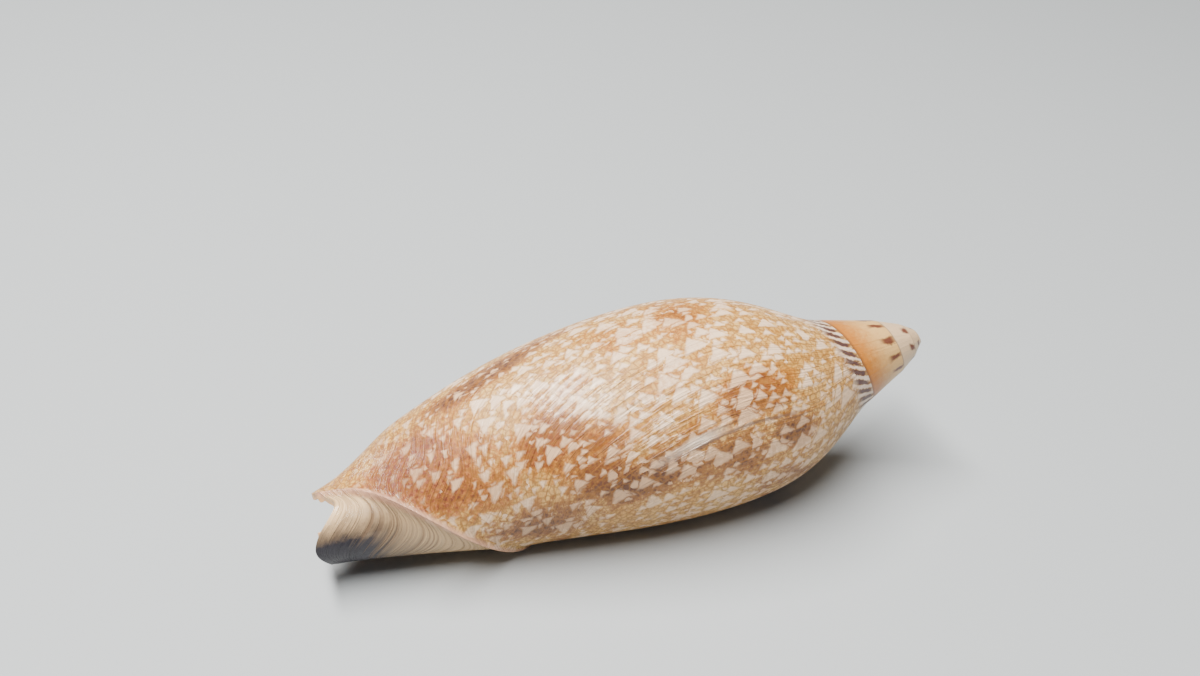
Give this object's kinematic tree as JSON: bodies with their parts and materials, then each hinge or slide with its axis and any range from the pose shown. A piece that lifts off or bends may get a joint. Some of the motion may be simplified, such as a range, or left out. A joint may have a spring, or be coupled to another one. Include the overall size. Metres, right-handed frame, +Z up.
{
  "type": "volute shell",
  "caption": "Smooth spindle-shaped sea snail shell with a short blunt spire, a long narrow aperture, columella folds and a siphonal notch, lying on its aperture.",
  "frame": {"origin": "centre of the bounding box in plan, on the surface that the shell rests on", "axes": "+Z up as the shell rests on its aperture, +X toward the apex along the length, -Y the columella side that faces the viewer of the picture"},
  "size_m": [0.1024, 0.0386, 0.0327],
  "materials": {
    "shell": "glossy"
  },
  "bodies": {
    "root": {"shell": "shell"}
  },
  "joints": []
}
